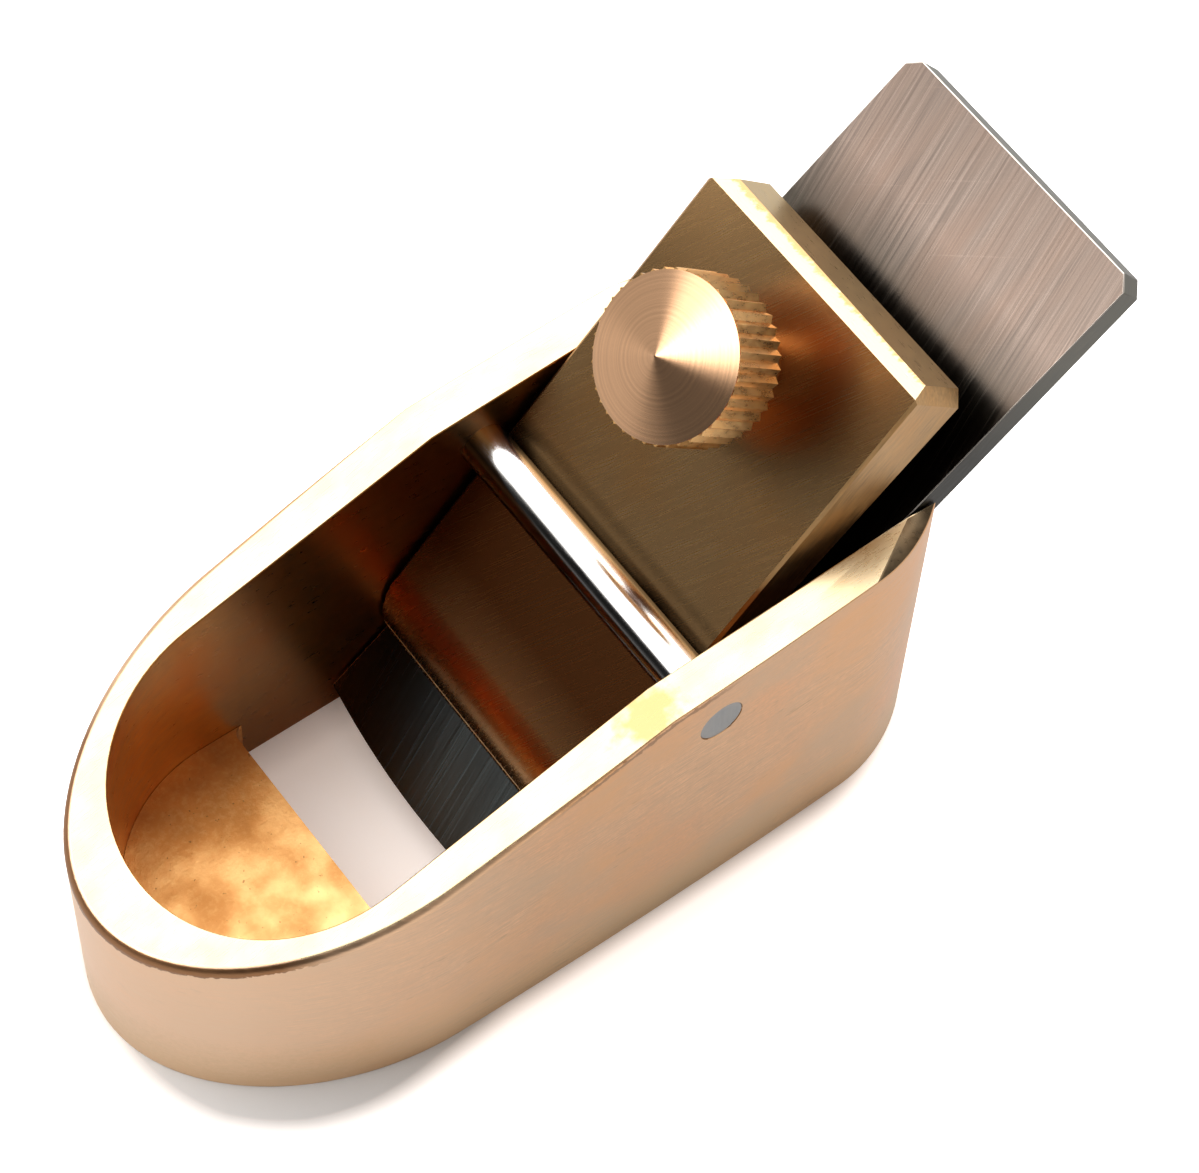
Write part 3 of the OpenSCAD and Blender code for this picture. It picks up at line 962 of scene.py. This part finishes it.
def filed_brass(name, colour, metallic=1.0, bump=0.2):
    """Brass fresh from the file, with short marks across the slope."""
    n = brushed(name, colour, (5.0, 1.2, 5.0), (0.5, 0.5, 0.5), 0.32, dark=0.88, light=1.08, bump=bump)
    n.give(Metallic=metallic)
    return n


def tail_slope_brass(colours):
    """The filed slope at the cap's tail, pale with a ragged golden lower edge."""
    n = filed_brass("cap_tail_slope", (0.62, 0.48, 0.30))
    fray = n.remap(n.noise((1.0, 2.2, 1.0), 4.0, 0.7), 0.3, 0.7, -0.35, 0.35)
    n.lay(n.remap(n.math("ADD", n.part(2), fray), -1.05, -1.25), shade(colours.cap, 1.1))
    return n.material


def cap_side_lit_brass(colours):
    """The cap's scratched sides, painted lighter than the cap's top as a lit copy of its brass."""
    return brushed("cap_side_lit_brass", shade(colours.cap, 1.25), (0.7, 4.0, 5.0), (0.3, 0.3, 0.3), 0.34,
                   dark=0.75, light=1.2, tint=(1.1, 0.95, 0.75), bump=0.3).material


def cap_brass(colours):
    """The cap: painted shade beside the screw, a painted highlight at one tail corner, painted shade along
    the pin, and below the pin a painted dark reflection, turning to a painted orange reflection at the
    nose.
    """
    n = brushed("cap_brass", colours.cap, (0.22, 8.0, 2.0), (0.12, 0.12, 0.2), 0.27,
                dark=0.95, light=1.04, tint=(1.08, 0.88, 0.66), bump=0.05, turn=CAP_GRIND, swing=0.02)
    x, y = n.part(0), n.part(1)
    along = n.math("MULTIPLY", n.math("SUBTRACT", x, SCREW_SHADE[0]), 0.8)
    reach = n.length(along, n.math("SUBTRACT", y, SCREW_SHADE[1]))
    # Painted shade beside the thumbscrew
    n.lay(n.remap(reach, 0.5, 5.5, 0.62, 0.0), shade(colours.cap, 0.25))
    # Painted highlight at one corner of the tail
    n.lay(n.math("MULTIPLY", n.remap(y, 2.0, 9.0), n.remap(x, 0.0, 7.0)), shade(colours.cap, 1.8))
    # Painted shade along the tail side of the pin, over the pin's reflection in the cap
    n.lay(n.remap(x, PIN_ON_CAP + 2.1, PIN_ON_CAP + 3.1, 0.9, 0.0), shade(colours.cap, 0.14))
    # Painted dark reflection below the pin, turning to a painted orange reflection of the toe plate at the
    # nose
    warm = n.mix(n.remap(x, NOSE_END + 8.5, NOSE_END + 1.5), colours.nose, (0.54, 0.31, 0.13))
    n.lay(n.remap(x, PIN_ON_CAP - 0.5, PIN_ON_CAP + 0.5, 1.0, 0.0), warm)
    return n.material


# Thumbscrew

def screw_points(node):
    """A screw node's points in the screw's frame."""
    inverse = cap_frame().inverted()
    return [inverse @ v.co for v in frame["nodes"][node].data.vertices]


def knob_sizes():
    """Radius, and the heights of the knob's back, knurl end and tip above the cap."""
    points = screw_points("screw_knob")
    radius = max(math.hypot(p.x, p.y) for p in points)
    back = min(p.z for p in points)
    tip = max(p.z for p in points)
    rim = max(p.z for p in points if math.hypot(p.x, p.y) > radius * 0.97)
    return radius, back, rim, tip


class PLANE_OT_screw(bpy.types.Operator):
    """Make the thumbscrew's threaded stem and its knurled knob"""

    bl_idname = "thumb_plane.screw"
    bl_label = "Thumbscrew"

    def execute(self, context):
        sizes, colours = context.scene.plane_sizes, context.scene.plane_colours
        stem = threaded_stem(sizes)
        smooth(stem, 60)
        set_grain(stem, cap_frame())
        paint(stem, stem_brass(colours))
        finish_piece(stem, "screw_stem", "screw_shank")

        ridged = knurl_brass(colours)
        knob = knob_core(sizes, knob_face(colours), ridged)
        join_into(knob, knurl_ring(sizes, ridged))
        set_grain(knob, cap_frame())
        finish_piece(knob, "screw_knob", "screw_head")
        return {"FINISHED"}


def threaded_stem(sizes):
    """A stem whose radius follows a helix, with a ball end."""
    points = screw_points("screw_stem")
    radius = max(math.hypot(p.x, p.y) for p in points)
    tip, top = min(p.z for p in points), max(p.z for p in points)
    root = radius - sizes.thread_depth
    ball_start = tip + radius
    segments = 48
    bends = [math.pi / 2 * a / 9 for a in range(9)]
    rings = full_rings(
        [(root * math.sin(bend), ball_start - radius * math.cos(bend)) for bend in bends], segments)
    step = sizes.thread_pitch / 10
    heights = [ball_start + step * k for k in range(int((top - ball_start) / step) + 1)]
    for height in heights:
        ring = []
        for i in range(segments):
            turn = (height / sizes.thread_pitch - i / segments) % 1.0
            crest = 1.0 - min(1.0, max(0.0, (abs(turn - 0.5) * 2 - 0.12) / 0.76))
            fade = min(1.0, (height - ball_start) / sizes.thread_pitch)
            ring.append((root + sizes.thread_depth * crest * fade, height))
        rings.append(ring)
    rings.append([(0.0, heights[-1])])
    return turned("screw_stem_threaded", rings, cap_frame(), segments)


def knob_core(sizes, face_bronze, back_brass):
    """The knob without its ridges: back, core and low cone, with a polar map for the turning marks."""
    radius, back, rim, tip = knob_sizes()
    valley = radius - sizes.knurl_depth
    lip = 0.12 * MM
    cone = [(radius * share, rim + (tip - rim) * (1 - share)) for share in
            (1 - 0.14 * MM / radius, 0.9, 0.8, 0.7, 0.6, 0.5, 0.4, 0.3, 0.2, 0.12, 0.06, 0.02)]
    profile = [(0.0, back + 0.05 * MM), (2.2 * MM, back + 0.05 * MM), (2.35 * MM, back),
               (valley - lip, back), (valley, back + lip), (valley, rim - 0.02 * MM), *cone, (0.0, tip)]
    knob = turned("screw_knob_knurled", full_rings(profile, 160), cap_frame(), 160)
    paint(knob, face_bronze, back_brass)
    inverse = cap_frame().inverted()
    layer = knob.data.uv_layers.new(name="turning")
    for face in knob.data.polygons:
        centre = inverse @ face.center
        around = math.atan2(centre.y, centre.x)
        face.material_index = 0 if centre.z > rim + 0.01 * MM else 1
        for loop, vertex in zip(face.loop_indices, face.vertices):
            place = inverse @ knob.data.vertices[vertex].co
            reach = math.hypot(place.x, place.y)
            angle = around if reach < 1e-7 else math.atan2(place.y, place.x)
            angle += 2 * math.pi * round((around - angle) / (2 * math.pi))
            layer.data[loop].uv = (angle / (2 * math.pi), reach / radius)
    smooth(knob, 30)
    return knob


def knurl_ring(sizes, material):
    """The ridges round the knob, made by a node tree from a count and sizes."""
    radius, back, rim, _ = knob_sizes()
    wanted = {
        "Teeth": ("NodeSocketInt", sizes.knurl_teeth),
        "Radius": ("NodeSocketFloat", radius - sizes.knurl_depth),
        "Depth": ("NodeSocketFloat", sizes.knurl_depth),
        "Length": ("NodeSocketFloat", rim - back - 0.04 * MM),
        "Width": ("NodeSocketFloat", 2 * math.pi * radius / sizes.knurl_teeth * 0.92),
        "Material": ("NodeSocketMaterial", material),
    }
    tree = bpy.data.node_groups.new("knurl", "GeometryNodeTree")
    tree.interface.new_socket("Geometry", in_out="OUTPUT", socket_type="NodeSocketGeometry")
    sockets = {name: tree.interface.new_socket(name, in_out="INPUT", socket_type=kind)
               for name, (kind, _) in wanted.items()}
    n = Nodes(tree)
    given = n.add("NodeGroupInput").outputs
    circle = n.add("GeometryNodeMeshCircle", {"Vertices": given["Teeth"], "Radius": given["Radius"]})
    ridge = n.add("GeometryNodeMeshCylinder", {
        "Vertices": 4, "Radius": 1.0, "Depth": given["Length"]}, fill_type="NGON")
    scale = n.add("ShaderNodeCombineXYZ", {
        "X": given["Depth"], "Y": n.math("MULTIPLY", given["Width"], 0.5), "Z": 1.0})
    shape = n.add("GeometryNodeTransform", {
        "Geometry": ridge.outputs["Mesh"], "Scale": scale.outputs[0]})
    place = n.add("GeometryNodeInputPosition").outputs[0]
    turn = n.add("FunctionNodeAlignRotationToVector", {"Vector": place}, axis="X")
    instances = n.add("GeometryNodeInstanceOnPoints", {
        "Points": circle.outputs["Mesh"], "Instance": shape.outputs["Geometry"],
        "Rotation": turn.outputs["Rotation"]})
    real = n.add("GeometryNodeRealizeInstances", {"Geometry": instances.outputs["Instances"]})
    coat = n.add("GeometryNodeSetMaterial", {
        "Geometry": real.outputs["Geometry"], "Material": given["Material"]})
    n.add("NodeGroupOutput", {"Geometry": coat.outputs["Geometry"]})

    ring = link("knurl_ridges", bpy.data.meshes.new("knurl_ridges"))
    modifier = ring.modifiers.new("Knurl", "NODES")
    modifier.node_group = tree
    for name, (_, value) in wanted.items():
        modifier[sockets[name].identifier] = value
    plain_mesh(ring)
    ring.data.transform(cap_frame() @ Matrix.Translation((0, 0, (back + rim) / 2)))
    smooth(ring, 50)
    return ring


def join_into(target, other):
    """Adds another mesh's faces to the target's mesh, with their materials."""
    form = bmesh.new()
    form.from_mesh(target.data)
    offset = len(target.data.materials)
    for material in other.data.materials:
        target.data.materials.append(material)
    start = len(form.faces)
    form.from_mesh(other.data)
    form.faces.ensure_lookup_table()
    for face in form.faces[start:]:
        face.material_index += offset
    form.to_mesh(target.data)
    form.free()
    bpy.data.objects.remove(other)


def stem_brass(colours):
    """Cut brass of the thread."""
    return brushed("stem_brass", colours.knob, (2.0, 2.0, 9.0), (0.4, 0.4, 0.4), 0.34,
                   dark=0.8, light=1.08, tint=(1.05, 0.9, 0.7), bump=0.15).material


def knurl_brass(colours):
    """Yellow brass of the ridges and of the knob's back."""
    return brushed("knurl_brass", colours.knurl, (3.0, 3.0, 1.0), (0.4, 0.4, 0.4), 0.30,
                   dark=0.82, light=1.1, tint=(1.1, 0.86, 0.6), bump=0.15).material


def knob_face(colours):
    """Turned face: fine rings round the tip, which also spread the light across the cuts."""
    n = Finish("knob_face")
    flat = n.add("ShaderNodeVectorMath", {0: n.grain(), 1: (1, 1, 0)}, operation="MULTIPLY")
    length = n.add("ShaderNodeVectorMath", {0: flat.outputs["Vector"]}, operation="LENGTH")
    rings = n.add("ShaderNodeTexNoise", {
        "W": length.outputs["Value"], "Scale": 6.0, "Detail": 5.0}, noise_dimensions="1D")
    marks = rings.outputs["Fac"]
    tangent = n.add("ShaderNodeTangent", direction_type="UV_MAP", uv_map="turning")
    base = n.mix(n.remap(marks, 0.35, 0.65), shade(colours.knob, 0.93), shade(colours.knob, 1.07))
    n.give(Base_Color=base, Tangent=tangent.outputs[0], Metallic=1.0, Roughness=0.17,
           Anisotropic=0.45, Anisotropic_Rotation=0.25)
    n.bump(marks, 0.06, 0.02 * MM)
    return n.material


class PLANE_PT_panel(bpy.types.Panel):
    """Sizes, colours and the steps that build the plane"""

    bl_label = "Thumb plane"
    bl_idname = "PLANE_PT_panel"
    bl_space_type = "VIEW_3D"
    bl_region_type = "UI"
    bl_category = "Thumb plane"

    def draw(self, context):
        for group in (context.scene.plane_sizes, context.scene.plane_colours):
            for name in group.__annotations__:
                self.layout.prop(group, name)
        for step in STEPS:
            self.layout.operator(step.bl_idname)


STEPS = (PLANE_OT_stage, PLANE_OT_body, PLANE_OT_toe_plate, PLANE_OT_bed, PLANE_OT_pin,
         PLANE_OT_blade, PLANE_OT_cap, PLANE_OT_screw)
CLASSES = (PlaneSizes, PlaneColours, *STEPS, PLANE_PT_panel)


def register():
    """Adds the classes and the scene's two groups of settings."""
    for item in CLASSES:
        bpy.utils.register_class(item)
    bpy.types.Scene.plane_sizes = bpy.props.PointerProperty(type=PlaneSizes)
    bpy.types.Scene.plane_colours = bpy.props.PointerProperty(type=PlaneColours)


def unregister():
    """Takes them away again."""
    del bpy.types.Scene.plane_colours
    del bpy.types.Scene.plane_sizes
    for item in reversed(CLASSES):
        bpy.utils.unregister_class(item)


def main():
    """Builds everything."""
    register()
    bpy.ops.thumb_plane.stage()
    bpy.ops.thumb_plane.body()
    bpy.ops.thumb_plane.toe_plate()
    bpy.ops.thumb_plane.bed()
    bpy.ops.thumb_plane.pin()
    bpy.ops.thumb_plane.blade()
    bpy.ops.thumb_plane.cap()
    bpy.ops.thumb_plane.screw()


if __name__ == "__main__":
    main()
